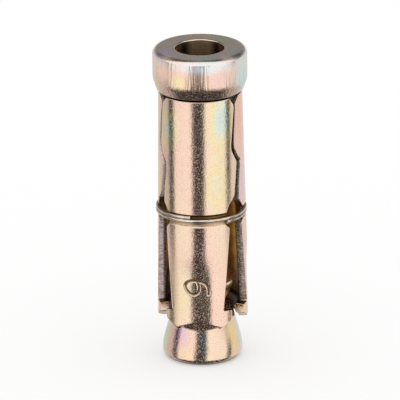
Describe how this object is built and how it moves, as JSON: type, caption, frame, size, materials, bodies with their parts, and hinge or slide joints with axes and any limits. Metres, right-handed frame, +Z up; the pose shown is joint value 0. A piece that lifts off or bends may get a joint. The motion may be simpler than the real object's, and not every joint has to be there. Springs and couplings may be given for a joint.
{
  "type": "shield anchor",
  "caption": "Metal expansion shield anchor: a ferrule, curved interlocking shield segments, a spring wire ring and a threaded cone nut that wedges the feet apart.",
  "frame": {"origin": "centre of the cone nut's flat base, on the anchor's axis, at the bottom of the standing anchor", "axes": "+Z up the anchor's axis from the cone nut to the ferrule; -Y through the middle of shield_segment_1, which faces the viewer; +X to its right"},
  "size_m": [0.0128, 0.0128, 0.044],
  "materials": {
    "plated_steel": "iridescent yellow zinc plate, softly glossy, with rough sheared edges",
    "plated_nut": "iridescent yellow zinc plate on a turned surface",
    "spring_wire": "drawn spring wire, satin"
  },
  "bodies": {
    "ferrule": {"ferrule": "plated_steel", "wire_ring": "spring_wire"},
    "cone_nut": {"cone_nut": "plated_nut"},
    "segment_1": {"shield_segment_1": "plated_steel"},
    "segment_2": {"shield_segment_2": "plated_steel"},
    "segment_3": {"shield_segment_3": "plated_steel"}
  },
  "joints": [
    {"name": "cone_draw", "type": "slide", "parent": "ferrule", "child": "cone_nut", "axis": [0, 0, 1], "range_m": [0, 0.0035], "deforming": ["wire_ring"]},
    {"name": "segment_1_swing", "type": "hinge", "parent": "ferrule", "child": "segment_1", "pos_m": [0, -0.00445, 0.0388], "axis": [-1, 0, 0], "range_deg": [0, 2.1]},
    {"name": "segment_2_swing", "type": "hinge", "parent": "ferrule", "child": "segment_2", "pos_m": [0.00385, 0.00222, 0.0388], "axis": [0.5, -0.866, 0], "range_deg": [0, 2.1]},
    {"name": "segment_3_swing", "type": "hinge", "parent": "ferrule", "child": "segment_3", "pos_m": [-0.00385, 0.00222, 0.0388], "axis": [0.5, 0.866, 0], "range_deg": [0, 2.1]}
  ],
  "couplings": [
    {"joint": "segment_1_swing", "follows": "cone_draw", "rad_per_m": 10.4},
    {"joint": "segment_2_swing", "follows": "cone_draw", "rad_per_m": 10.4},
    {"joint": "segment_3_swing", "follows": "cone_draw", "rad_per_m": 10.4}
  ]
}
